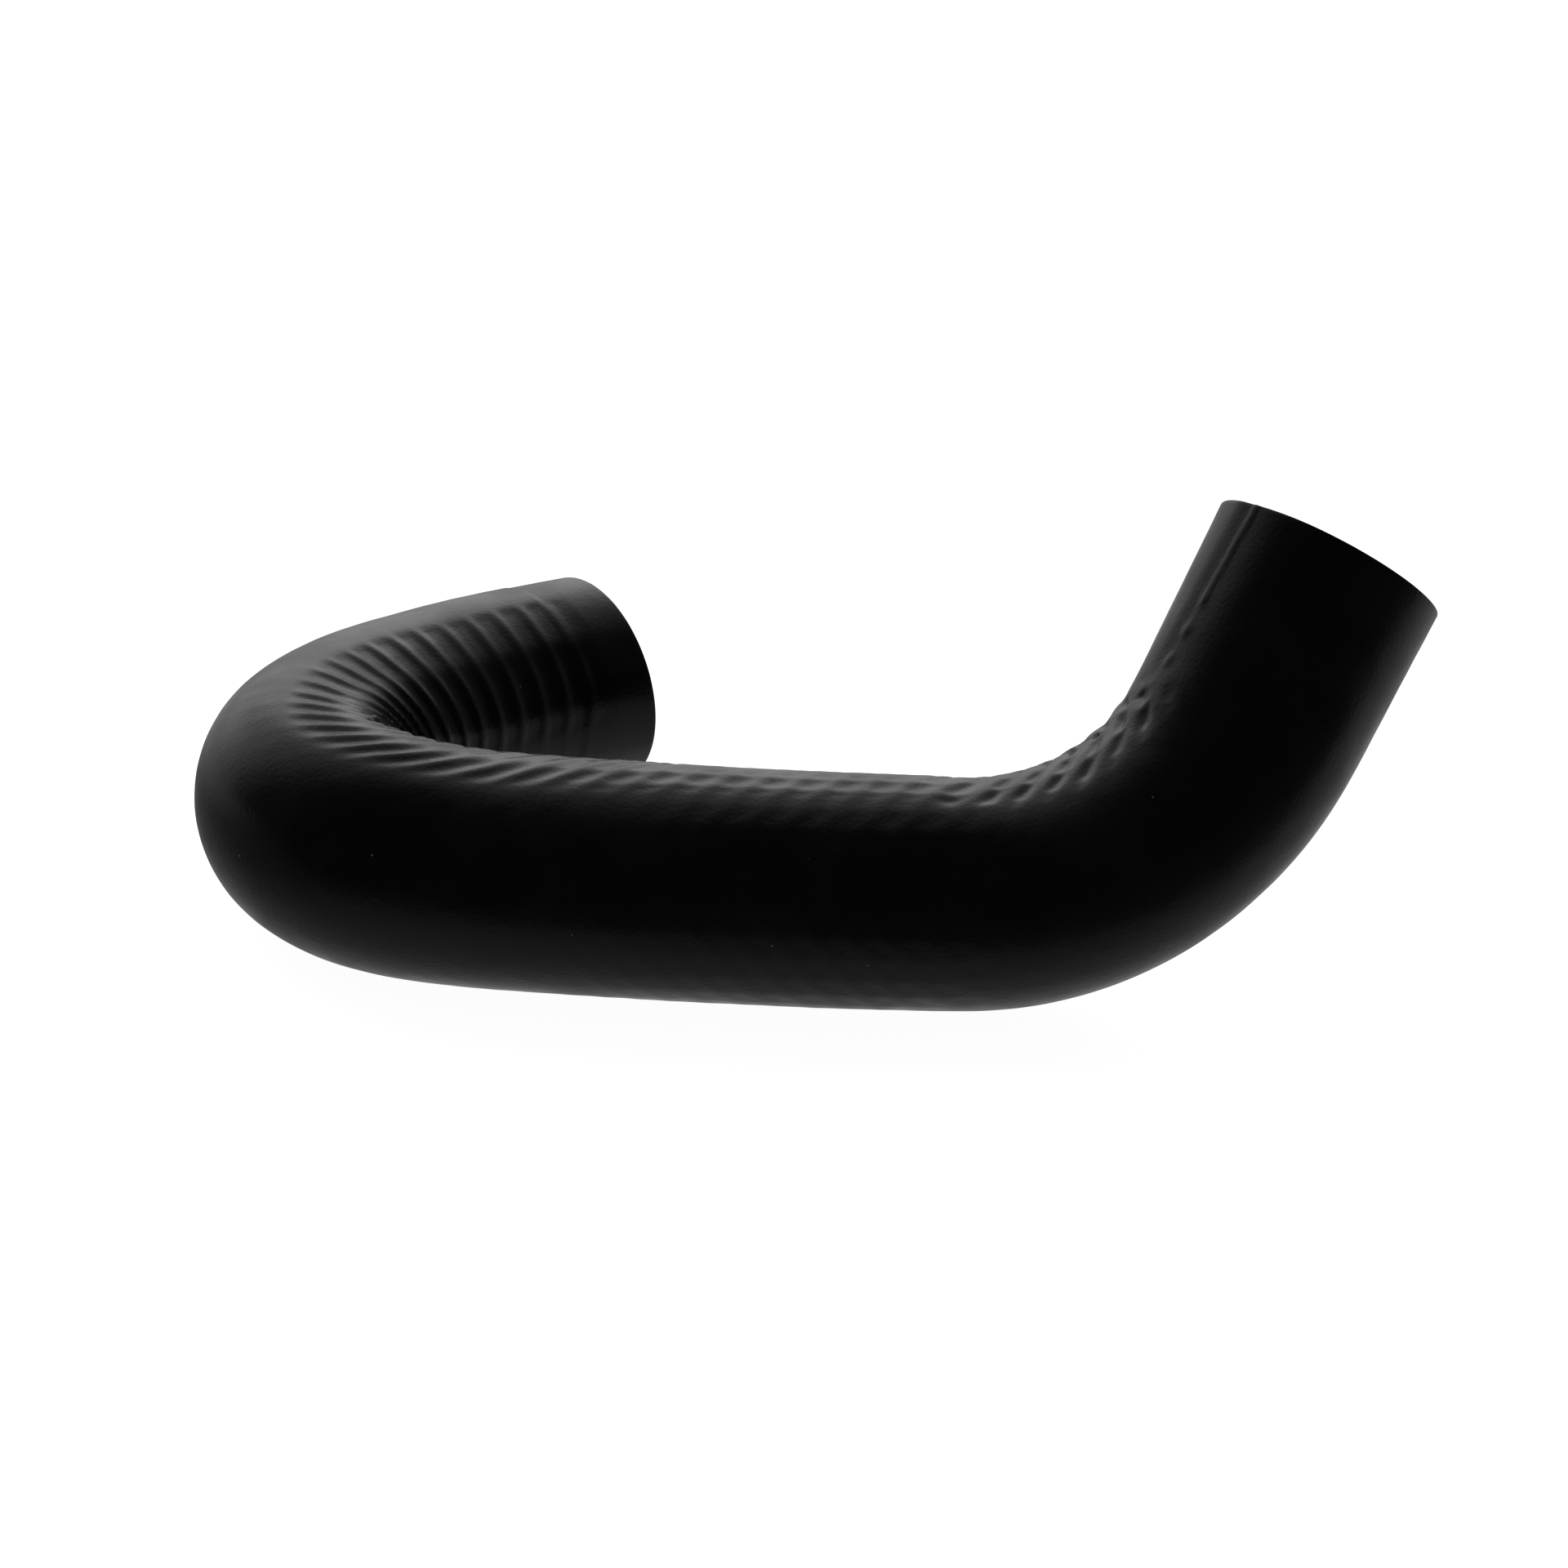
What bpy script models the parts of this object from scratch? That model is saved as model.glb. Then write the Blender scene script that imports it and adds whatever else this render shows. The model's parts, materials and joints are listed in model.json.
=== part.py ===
"""Air intake hose: one tube of black rubber over a textile reinforcement, moulded with two bends.

The hose lies as it rests on a floor. Its long run points along X. At one end the tight U-bend
turns it back behind the run, in the floor's plane, into the short leg. At the other end a wide
bend lifts the riser out of that plane, leaning it over towards the leg's side, and the riser widens
a little towards its mouth. Lengths are in metres, turns in degrees, and +Z is up.
"""

import math
from collections import namedtuple

import bmesh
import bpy
from mathutils import Vector

# Section of the hose
OUTER_DIAMETER = 0.050
WALL = 0.005
BEND_OVAL = 0.037            # how much the tight bend draws the section in across, and makes it taller

# Riser, and the wide bend at its foot, whose plane leans over towards the leg's side
RISER_STRAIGHT = 0.0336
RISER_MOUTH_DIAMETER = 0.0524
RISER_FLARE_LENGTH = 0.0636  # the riser widens over this length, wall and all
RISER_CUT_TILT = 1.6
LIFT_INNER_RADIUS = 0.0433
LIFT_EVEN_TURN = 53.5
LIFT_EASE_TURN = 5.25
LIFT_LEAN = 24.5

# Run along the floor, which bows a little towards the leg
RUN_LENGTH = 0.0945
RUN_BOW_TURN = 7.1

# Tight bend that turns the hose back behind the run
U_BEND_INNER_RADIUS = 0.0059
U_BEND_ENTRY_TURN = 21.8
U_BEND_EVEN_TURN = 31.1
U_BEND_EXIT_TURN = 79.1

# Leg that ends in the second mouth
LEG_BOWED_LENGTH = 0.0302
LEG_BOW_TURN = 8.7
LEG_STRAIGHT = 0.020
LEG_CUT_TILT = 6.7

# Relief that the reinforcement raises on the outer skin
RIDGE_PITCH = 0.0077
RIDGE_HEIGHT = 0.00035
PLEAT_HEIGHT = 0.0009        # the same ridges, gathered on the inside of the tight bend
STRETCHED_SHARE = 0.5        # how much of a ridge the outside of the tight bend draws flat
WALE_ANGLE = 30.0            # one slant of the zigzag that each ridge makes round the hose
WALE_SLANT = 0.0062          # how far a ridge runs along the hose in one slant
WALE_PHASE = 155.0
PLAIN_AT_RISER = 0.046       # skin with no ridges at each mouth
PLAIN_AT_LEG = 0.013
RELIEF_FADE = 0.020

# Line that the wrapped cloth's edge leaves along the riser
SEAM_ANGLE = 161.0
SEAM_HALF_ANGLE = 2.5
SEAM_HEIGHT = 0.0004
SEAM_LENGTH = 0.052
SEAM_FADE = 0.015

# Fineness of the mesh
SKIN_COLUMNS = 36
BORE_COLUMNS = 24
BORE_STEP = 0.0075
PATH_STEP = 0.0012
WELD_DISTANCE = 1e-6
SHARP_ANGLE = 50.0

RUBBER_COLOUR = (0.012, 0.012, 0.013, 1.0)
RUBBER_ROUGHNESS = 0.48

Stretch = namedtuple("Stretch", "start length lift_from lift_to swing_from swing_to")


def turning_length(turn, curvature_from, curvature_to):
    """Length in which a curvature that changes evenly makes a turn of so many degrees."""
    return math.radians(turn) / ((curvature_from + curvature_to) / 2)


def hose_stretches():
    """The centre line from the riser's mouth to the leg's, as stretches whose curvature changes evenly."""
    lift = 1 / (LIFT_INNER_RADIUS + OUTER_DIAMETER / 2)
    tight = 1 / (U_BEND_INNER_RADIUS + OUTER_DIAMETER / 2 * (1 - BEND_OVAL))
    run_bow = math.radians(RUN_BOW_TURN) / RUN_LENGTH
    leg_bow = math.radians(LEG_BOW_TURN) / LEG_BOWED_LENGTH
    plan = [
        (RISER_STRAIGHT, 0, 0, 0, 0),
        (turning_length(LIFT_EASE_TURN, 0, lift), 0, lift, 0, 0),
        (turning_length(LIFT_EVEN_TURN, lift, lift), lift, lift, 0, 0),
        (turning_length(LIFT_EASE_TURN, lift, 0), lift, 0, 0, 0),
        (RUN_LENGTH, 0, 0, run_bow, run_bow),
        (turning_length(U_BEND_ENTRY_TURN, run_bow, tight), 0, 0, run_bow, tight),
        (turning_length(U_BEND_EVEN_TURN, tight, tight), 0, 0, tight, tight),
        (turning_length(U_BEND_EXIT_TURN, tight, leg_bow), 0, 0, tight, leg_bow),
        (LEG_BOWED_LENGTH, 0, 0, leg_bow, leg_bow),
        (LEG_STRAIGHT, 0, 0, 0, 0),
    ]
    stretches = []
    start = 0.0
    for length, *curvatures in plan:
        stretches.append(Stretch(start, length, *curvatures))
        start += length
    return stretches


STRETCHES = hose_stretches()
HOSE_LENGTH = STRETCHES[-1].start + STRETCHES[-1].length
TIGHTEST_SWING = max(stretch.swing_from for stretch in STRETCHES)


def centre_line():
    """Points along the middle of the hose, found by following its direction in small steps."""
    pitch = math.radians(LIFT_EVEN_TURN + 2 * LIFT_EASE_TURN)
    lean = math.radians(LIFT_LEAN)
    heading = 0.0
    points = [Vector((0, 0, 0))]
    for stretch in STRETCHES:
        steps = math.ceil(stretch.length / PATH_STEP)
        step = stretch.length / steps
        for count in range(steps):
            share = (count + 0.5) / steps
            lift = stretch.lift_from + (stretch.lift_to - stretch.lift_from) * share
            swing = stretch.swing_from + (stretch.swing_to - stretch.swing_from) * share
            pitch -= lift * step / 2
            heading += swing * step / 2
            along = Vector((
                -math.cos(pitch) * math.cos(heading),
                math.cos(pitch) * math.sin(heading) - math.sin(pitch) * math.sin(lean),
                -math.sin(pitch) * math.cos(lean),
            ))
            points.append(points[-1] + along * step)
            pitch -= lift * step / 2
            heading += swing * step / 2
    return points


def tightness(distance):
    """How hard the hose swings at a distance from the riser's mouth: 1 in the tight bend."""
    reached = [stretch for stretch in STRETCHES if stretch.start <= distance]
    stretch = reached[-1] if reached else STRETCHES[0]
    share = (distance - stretch.start) / stretch.length
    swing = stretch.swing_from + (stretch.swing_to - stretch.swing_from) * share
    return swing / TIGHTEST_SWING


def smooth_step(value, low, high):
    """0 below low, 1 above high, and an even change of pace between them."""
    share = min(max((value - low) / (high - low), 0.0), 1.0)
    return share * share * (3 - 2 * share)


def ridge_share(distance):
    """How strongly the ridges show at a distance along the hose: not at all close to the mouths."""
    from_leg = HOSE_LENGTH - distance
    at_riser = smooth_step(distance, PLAIN_AT_RISER, PLAIN_AT_RISER + RELIEF_FADE)
    at_leg = smooth_step(from_leg, PLAIN_AT_LEG, PLAIN_AT_LEG + RELIEF_FADE)
    return at_riser * at_leg


def ridge_height(distance, angle):
    """Height of a ridge over the furrows beside it: gathered inside the tight bend, drawn flat outside."""
    inside = math.sin(angle) * tightness(distance)
    gathered = RIDGE_HEIGHT + (PLEAT_HEIGHT - RIDGE_HEIGHT) * max(inside, 0.0)
    drawn_flat = 1 + STRETCHED_SHARE * min(inside, 0.0)
    return gathered * drawn_flat * ridge_share(distance)


def ridge_slant(distance, angle):
    """How far along the hose a ridge lies from its mean place, as it zigzags round the wales."""
    turns = (math.degrees(angle) - WALE_PHASE) / (2 * WALE_ANGLE)
    zigzag = 4 * abs(turns - math.floor(turns + 0.5)) - 1
    swing = smooth_step(HOSE_LENGTH - distance, LEG_STRAIGHT, LEG_STRAIGHT + LEG_BOWED_LENGTH)
    return WALE_SLANT / 2 * zigzag * swing * ridge_share(distance)


def seam_height(distance, angle):
    """Height of the line along the riser, which sinks into the skin before the wide bend."""
    off_line = abs(math.degrees(angle) - SEAM_ANGLE) / SEAM_HALF_ANGLE
    sunk = smooth_step(distance, SEAM_LENGTH - SEAM_FADE, SEAM_LENGTH)
    return SEAM_HEIGHT * max(0.0, 1 - off_line) * (1 - sunk)


def widening(distance):
    """How much the riser's flare adds to every radius at a distance from its mouth."""
    at_mouth = (RISER_MOUTH_DIAMETER - OUTER_DIAMETER) / 2
    return at_mouth * max(0.0, 1 - distance / RISER_FLARE_LENGTH)


def cut_slide(distance, across, height):
    """How far a mouth's tilted cut slides a point along the hose, fading out over the straight end."""
    at_riser = max(0.0, 1 - distance / RISER_STRAIGHT)
    at_leg = max(0.0, 1 - (HOSE_LENGTH - distance) / LEG_STRAIGHT)
    riser_slope = math.tan(math.radians(RISER_CUT_TILT))
    leg_slope = math.tan(math.radians(LEG_CUT_TILT))
    return -across * riser_slope * at_riser - height * leg_slope * at_leg


def straight_place(distance, angle, radius):
    """A point of the hose before it is bent. Angle 0 is its underside, 90 the inside of the tight bend."""
    oval = BEND_OVAL * tightness(distance)
    widened = radius + widening(distance)
    across = widened * math.sin(angle) * (1 - oval)
    height = -widened * math.cos(angle) * (1 + oval)
    level_floor = OUTER_DIAMETER / 2 * oval
    return Vector((distance + cut_slide(distance, across, height), -across, height + level_floor))


def skin_place(distance, ring, angle):
    """A point of the outer skin: odd rings run along the ridges and even rings along the furrows."""
    furrow_depth = ridge_height(distance, angle) if ring % 2 == 0 else 0.0
    radius = OUTER_DIAMETER / 2 - furrow_depth + seam_height(distance, angle)
    return straight_place(distance + ridge_slant(distance, angle), angle, radius)


def bore_place(distance, ring, angle):
    """A point of the smooth bore."""
    return straight_place(distance, angle, OUTER_DIAMETER / 2 - WALL)


def rolled_sheet(bm, ring_count, angles, place):
    """A flat grid rolled up into a tube that is open at both ends, and welded along its length."""
    column_count = len(angles)
    grid = bmesh.ops.create_grid(bm, x_segments=ring_count, y_segments=column_count, size=1)
    for vertex in grid["verts"]:
        ring = round((vertex.co.x + 1) / 2 * ring_count)
        column = round((vertex.co.y + 1) / 2 * column_count) % column_count
        distance = HOSE_LENGTH * ring / ring_count
        vertex.co = place(distance, ring, math.radians(angles[column]))
    bmesh.ops.remove_doubles(bm, verts=grid["verts"], dist=WELD_DISTANCE)


def even_angles(columns):
    return [360 * column / columns for column in range(columns)]


def skin_angles():
    """Angles of the skin's columns: evenly spaced, with three of their own along the riser's line."""
    beside = [angle for angle in even_angles(SKIN_COLUMNS) if abs(angle - SEAM_ANGLE) > SEAM_HALF_ANGLE]
    return sorted(beside + [SEAM_ANGLE - SEAM_HALF_ANGLE, SEAM_ANGLE, SEAM_ANGLE + SEAM_HALF_ANGLE])


def straight_hose_mesh():
    """The hose before it is bent: the outer skin with its relief, the bore, and a flat ring at each mouth."""
    bm = bmesh.new()
    skin_rings = 2 * round(HOSE_LENGTH / RIDGE_PITCH)
    rolled_sheet(bm, skin_rings, skin_angles(), skin_place)
    rolled_sheet(bm, round(HOSE_LENGTH / BORE_STEP), even_angles(BORE_COLUMNS), bore_place)
    open_edges = [edge for edge in bm.edges if edge.is_boundary]
    riser_edges = [edge for edge in open_edges if edge.verts[0].co.x < HOSE_LENGTH / 2]
    leg_edges = [edge for edge in open_edges if edge.verts[0].co.x > HOSE_LENGTH / 2]
    bmesh.ops.triangle_fill(bm, edges=riser_edges, use_beauty=True)
    bmesh.ops.triangle_fill(bm, edges=leg_edges, use_beauty=True)
    bmesh.ops.recalc_face_normals(bm, faces=bm.faces)
    mesh = bpy.data.meshes.new("hose")
    bm.to_mesh(mesh)
    bm.free()
    return mesh


def rubber():
    material = bpy.data.materials.new("black_rubber")
    material.use_nodes = True
    shader = material.node_tree.nodes["Principled BSDF"]
    shader.inputs["Base Color"].default_value = RUBBER_COLOUR
    shader.inputs["Roughness"].default_value = RUBBER_ROUGHNESS
    shader.inputs["Metallic"].default_value = 0.0
    material.diffuse_color = RUBBER_COLOUR
    return material


def path_guide(collection, parent):
    """The centre line as a curve that the hose is bent along. It isn't part of the hose."""
    points = centre_line()
    curve = bpy.data.curves.new("hose_path", "CURVE")
    curve.dimensions = "3D"
    curve.twist_mode = "Z_UP"
    spline = curve.splines.new("POLY")
    spline.points.add(len(points) - 1)
    for spot, point in zip(spline.points, points):
        spot.co = (*point, 1.0)
    guide = bpy.data.objects.new("hose_path", curve)
    guide.hide_render = True
    guide.display_type = "WIRE"
    guide.parent = parent
    collection.objects.link(guide)
    return guide


def bent_hose(collection, guide, parent):
    """The straight hose, bent along its path."""
    mesh = straight_hose_mesh()
    mesh.materials.append(rubber())
    hose = bpy.data.objects.new("hose", mesh)
    hose.parent = parent
    collection.objects.link(hose)
    bend = hose.modifiers.new("bend_along_path", "CURVE")
    bend.object = guide
    bend.deform_axis = "POS_X"
    mesh.shade_smooth()
    mesh.set_sharp_from_angle(angle=math.radians(SHARP_ANGLE))
    return hose


def stand_on_floor(frame, hose):
    """Moves the frame so that the hose stands on the floor, with the middle of its box over the origin."""
    bpy.context.view_layer.update()
    bent = hose.evaluated_get(bpy.context.evaluated_depsgraph_get())
    corners = [bent.matrix_world @ vertex.co for vertex in bent.data.vertices]
    low = [min(corner[axis] for corner in corners) for axis in range(3)]
    high = [max(corner[axis] for corner in corners) for axis in range(3)]
    frame.location = (-(low[0] + high[0]) / 2, -(low[1] + high[1]) / 2, -low[2])
    bpy.context.view_layer.update()


def main():
    for old in list(bpy.data.objects):
        bpy.data.objects.remove(old)
    parts = bpy.data.collections.new("air_intake_hose")
    guides = bpy.data.collections.new("guides")
    bpy.context.scene.collection.children.link(parts)
    bpy.context.scene.collection.children.link(guides)
    frame = bpy.data.objects.new("hose_frame", None)
    guides.objects.link(frame)
    guide = path_guide(guides, frame)
    hose = bent_hose(parts, guide, frame)
    stand_on_floor(frame, hose)


main()
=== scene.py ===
# %% [markdown]
# # An air intake hose of moulded rubber
#
# This lesson dresses one CAD part: a black rubber hose, reinforced with a knitted cloth and moulded
# with two bends. The CAD model is loaded first and stays as the fixed frame. Everything below is in
# metres and in the CAD model's own axes, so nothing has to be fitted afterwards.

# %% Load the frame
import json
import math
from collections import namedtuple

import bmesh
import bpy
import numpy as np
from mathutils import Euler, Matrix, Vector, noise


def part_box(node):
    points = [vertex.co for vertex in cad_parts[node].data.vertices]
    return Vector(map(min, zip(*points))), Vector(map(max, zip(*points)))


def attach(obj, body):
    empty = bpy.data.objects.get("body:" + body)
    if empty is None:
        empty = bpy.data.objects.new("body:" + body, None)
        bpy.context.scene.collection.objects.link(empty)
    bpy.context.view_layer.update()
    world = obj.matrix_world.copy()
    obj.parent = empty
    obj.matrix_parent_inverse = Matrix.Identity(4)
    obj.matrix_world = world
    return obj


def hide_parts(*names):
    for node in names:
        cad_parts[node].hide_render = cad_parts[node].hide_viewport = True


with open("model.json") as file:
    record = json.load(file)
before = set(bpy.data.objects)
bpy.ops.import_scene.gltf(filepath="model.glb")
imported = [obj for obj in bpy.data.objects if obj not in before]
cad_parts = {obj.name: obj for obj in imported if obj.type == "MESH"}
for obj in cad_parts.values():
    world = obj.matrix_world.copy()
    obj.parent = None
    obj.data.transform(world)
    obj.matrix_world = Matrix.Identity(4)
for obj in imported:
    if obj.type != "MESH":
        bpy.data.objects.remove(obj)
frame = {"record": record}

MM_PER_METRE = 1000


def mm(metres, digits=2):
    """A length in millimetres, rounded for printing."""
    return round(float(metres) * MM_PER_METRE, digits)


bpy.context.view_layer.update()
bpy.ops.object.select_all(action="DESELECT")

# %% [markdown]
# ## The sizes of the hose
#
# A moulded hose is built up straight: rubber is extruded, the cloth is knitted round it, and a cover
# goes on top. The raw hose is then pushed over a bent mandrel and cured there. These are the sizes
# that the CAD source starts from, so the dressed hose follows the same centre line. Turns, leans and
# tilts are in degrees.

# %% Sizes of the hose
OUTER_DIAMETER = 0.050
WALL = 0.005
BEND_OVAL = 0.037
RISER_STRAIGHT = 0.0336
RISER_MOUTH_DIAMETER = 0.0524
RISER_FLARE_LENGTH = 0.0636
RISER_CUT_TILT = 1.6
LIFT_INNER_RADIUS = 0.0433
LIFT_EVEN_TURN = 53.5
LIFT_EASE_TURN = 5.25
LIFT_LEAN = 24.5
RUN_LENGTH = 0.0945
RUN_BOW_TURN = 7.1
U_BEND_INNER_RADIUS = 0.0059
U_BEND_ENTRY_TURN = 21.8
U_BEND_EVEN_TURN = 31.1
U_BEND_EXIT_TURN = 79.1
LEG_BOWED_LENGTH = 0.0302
LEG_BOW_TURN = 8.7
LEG_STRAIGHT = 0.020
LEG_CUT_TILT = 6.7

# %% [markdown]
# ## The centre line
#
# The line down the middle of the hose could be drawn by hand as a Bezier curve, but a mandrel is bent
# in stretches: straight, even bend, and short eases between them. Here each stretch has a curvature
# that changes evenly from one value to another. Following the direction in small steps gives points
# for a plain poly curve. The riser's bend lies in a plane that leans over towards the leg's side.

# %% Stretches of the centre line
Stretch = namedtuple("Stretch", "name start length lift_from lift_to swing_from swing_to")


def turning_length(turn, curvature_from, curvature_to):
    """Length in which a curvature that changes evenly makes a turn of so many degrees."""
    return math.radians(turn) / ((curvature_from + curvature_to) / 2)


def hose_stretches():
    """From the riser's mouth to the leg's. Lift bends the hose upwards and swing bends it sideways."""
    lift = 1 / (LIFT_INNER_RADIUS + OUTER_DIAMETER / 2)
    tight = 1 / (U_BEND_INNER_RADIUS + OUTER_DIAMETER / 2 * (1 - BEND_OVAL))
    run_bow = math.radians(RUN_BOW_TURN) / RUN_LENGTH
    leg_bow = math.radians(LEG_BOW_TURN) / LEG_BOWED_LENGTH
    plan = [
        ("riser", RISER_STRAIGHT, 0, 0, 0, 0),
        ("wide bend begins", turning_length(LIFT_EASE_TURN, 0, lift), 0, lift, 0, 0),
        ("wide bend", turning_length(LIFT_EVEN_TURN, lift, lift), lift, lift, 0, 0),
        ("wide bend ends", turning_length(LIFT_EASE_TURN, lift, 0), lift, 0, 0, 0),
        ("run", RUN_LENGTH, 0, 0, run_bow, run_bow),
        ("tight bend begins", turning_length(U_BEND_ENTRY_TURN, run_bow, tight), 0, 0, run_bow, tight),
        ("tight bend", turning_length(U_BEND_EVEN_TURN, tight, tight), 0, 0, tight, tight),
        ("tight bend ends", turning_length(U_BEND_EXIT_TURN, tight, leg_bow), 0, 0, tight, leg_bow),
        ("bowed leg", LEG_BOWED_LENGTH, 0, 0, leg_bow, leg_bow),
        ("leg", LEG_STRAIGHT, 0, 0, 0, 0),
    ]
    stretches = []
    start = 0.0
    for name, length, *curvatures in plan:
        stretches.append(Stretch(name, start, length, *curvatures))
        start += length
    return stretches


STRETCHES = hose_stretches()
HOSE_LENGTH = STRETCHES[-1].start + STRETCHES[-1].length
RUN_START = next(stretch.start for stretch in STRETCHES if stretch.name == "run")
print("hose length in mm:", mm(HOSE_LENGTH, 1))

# %% Points of the centre line
PATH_STEP = 0.0006


def centre_line():
    """Points along the middle of the hose, and how far along it each one is."""
    pitch = math.radians(LIFT_EVEN_TURN + 2 * LIFT_EASE_TURN)
    side_lean = math.radians(LIFT_LEAN)
    heading = 0.0
    points = [Vector((0, 0, 0))]
    distances = [0.0]
    for stretch in STRETCHES:
        steps = math.ceil(stretch.length / PATH_STEP)
        step_length = stretch.length / steps
        for count in range(steps):
            share = (count + 0.5) / steps
            lift = stretch.lift_from + (stretch.lift_to - stretch.lift_from) * share
            swing = stretch.swing_from + (stretch.swing_to - stretch.swing_from) * share
            pitch -= lift * step_length / 2
            heading += swing * step_length / 2
            along = Vector((
                -math.cos(pitch) * math.cos(heading),
                math.cos(pitch) * math.sin(heading) - math.sin(pitch) * math.sin(side_lean),
                -math.sin(pitch) * math.cos(side_lean),
            ))
            points.append(points[-1] + along * step_length)
            distances.append(distances[-1] + step_length)
            pitch -= lift * step_length / 2
            heading += swing * step_length / 2
    return points, distances


path_points, path_distances = centre_line()
print("points on the centre line:", len(path_points))

# %% [markdown]
# ## Where the hose stands
#
# The record states a mount on the flat ring of the riser's mouth, level with its middle. The middle of
# that mouth is half the ring's mean diameter away from it, and it is where the centre line starts. The
# cut is tilted a little, so the mount also lies a little way along the line.

# %% The riser's mouth in the frame
riser_mount = next(mount for mount in frame["record"]["mounts"] if mount["name"] == "riser_mouth")
down_the_riser = (path_points[1] - path_points[0]).normalized()
level_across = Vector((0, 0, 1)).cross(down_the_riser).normalized()
ring_radius = (RISER_MOUTH_DIAMETER - WALL) / 2
slid_down = ring_radius * math.tan(math.radians(RISER_CUT_TILT))
mouth_middle = Vector(riser_mount["pos_m"]) - level_across * ring_radius - down_the_riser * slid_down
print("middle of the riser's mouth in mm:", [mm(value) for value in mouth_middle])

# %% [markdown]
# ## The straight hose
#
# A tube could be a curve with a bevel, but then the relief of the knit could not be shaped before the
# bending. So the hose is made the way the factory makes it: straight first. A circle swept along X by
# a Screw modifier with no turn gives the skin, with a ring of points every 0.9 mm, close enough
# together to carry the relief as real shape. A second, coarser sweep gives the bore.

# %% Sweep a circle into an open tube
COLUMNS = 192
SKIN_RINGS = 436
BORE_RINGS = 60


def open_tube(name, radius, rings):
    """A straight tube along X, open at both ends."""
    bpy.ops.object.select_all(action="DESELECT")
    bpy.ops.mesh.primitive_circle_add(
        vertices=COLUMNS, radius=radius, fill_type="NOTHING", rotation=(0, math.radians(90), 0)
    )
    tube = bpy.context.object
    tube.name = name
    bpy.ops.object.transform_apply(location=True, rotation=True, scale=True)
    sweep = tube.modifiers.new("sweep", "SCREW")
    sweep.axis = "X"
    sweep.angle = 0
    sweep.screw_offset = HOSE_LENGTH
    sweep.steps = rings
    sweep.render_steps = rings
    sweep.use_merge_vertices = False
    bpy.ops.object.modifier_apply(modifier=sweep.name)
    return tube


hose = open_tube("moulded_hose", OUTER_DIAMETER / 2, SKIN_RINGS)
bore = open_tube("bore", OUTER_DIAMETER / 2 - WALL, BORE_RINGS)
print("skin faces:", len(hose.data.polygons), "bore faces:", len(bore.data.polygons))

# %% [markdown]
# ## The cut ends
#
# A cured hose is trimmed square with a knife, which leaves a flat ring with crisp but not razor-sharp
# edges. Bridging the skin's end loop to the bore's can pair the wrong points when both lie in one
# plane, so each end loop of the skin is extruded in place and scaled in to the bore's radius. Joining
# the bore and merging by distance closes the wall. The faces are turned outwards before the four edges
# get their small bevel, because a bevel between faces that look opposite ways folds over.

# %% Close the mouths
END_TOLERANCE = 1e-5
RIM_ROUNDING = 0.0002
RIM_SEGMENTS = 2
MOUTHS = (0.0, HOSE_LENGTH)


def select_edges_at(mesh, mouth, chosen):
    """Selects, in edit mode, the edges that lie in the plane of one mouth and pass the test."""
    bpy.ops.mesh.select_all(action="DESELECT")
    bm = bmesh.from_edit_mesh(mesh)
    for edge in bm.edges:
        in_plane = all(abs(vertex.co.x - mouth) < END_TOLERANCE for vertex in edge.verts)
        edge.select = in_plane and chosen(edge)
    bm.select_flush_mode()
    bmesh.update_edit_mesh(mesh)


def runs_round(edge):
    """True for an edge that runs round the hose and not across its wall."""
    first, second = (math.hypot(vertex.co.y, vertex.co.z) for vertex in edge.verts)
    return abs(first - second) < END_TOLERANCE


def is_open(edge):
    """True for an edge with a face on one side only."""
    return edge.is_boundary


bpy.ops.object.select_all(action="DESELECT")
hose.select_set(True)
bpy.context.view_layer.objects.active = hose
bpy.ops.object.mode_set(mode="EDIT")
bpy.ops.mesh.select_mode(type="EDGE")
inwards = (OUTER_DIAMETER / 2 - WALL) / (OUTER_DIAMETER / 2)
for mouth in MOUTHS:
    select_edges_at(hose.data, mouth, is_open)
    bpy.ops.mesh.extrude_edges_move()
    bpy.ops.transform.resize(value=(1, inwards, inwards), center_override=(mouth, 0, 0))
bpy.ops.object.mode_set(mode="OBJECT")
bore.select_set(True)
bpy.ops.object.join()
bpy.ops.object.mode_set(mode="EDIT")
bpy.ops.mesh.select_all(action="SELECT")
bpy.ops.mesh.remove_doubles(threshold=END_TOLERANCE)
bpy.ops.mesh.normals_make_consistent(inside=False)
for mouth in MOUTHS:
    select_edges_at(hose.data, mouth, runs_round)
    bpy.ops.mesh.bevel(offset=RIM_ROUNDING, segments=RIM_SEGMENTS, affect="EDGES")
bpy.ops.object.mode_set(mode="OBJECT")

# %% Measure the straight hose
CM3_PER_M3 = 1e6


def report_closed(piece):
    """Prints whether a mesh is closed, and its volume."""
    bm = bmesh.new()
    bm.from_mesh(piece.data)
    open_edges = sum(1 for edge in bm.edges if not edge.is_manifold)
    volume = round(bm.calc_volume(signed=True) * CM3_PER_M3, 1)
    bm.free()
    print(piece.name, "open edges:", open_edges, "volume in cm3:", volume)


report_closed(hose)

# %% [markdown]
# ## Reading the straight hose
#
# Every point of the straight mesh is known by three numbers: how far it is along the hose, its angle
# round the hose, and its radius. Angle 0 is the underside, 90 the inside of the tight bend, 180 the
# top and 270 the side away from the short leg. NumPy reads all points at once.

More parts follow.
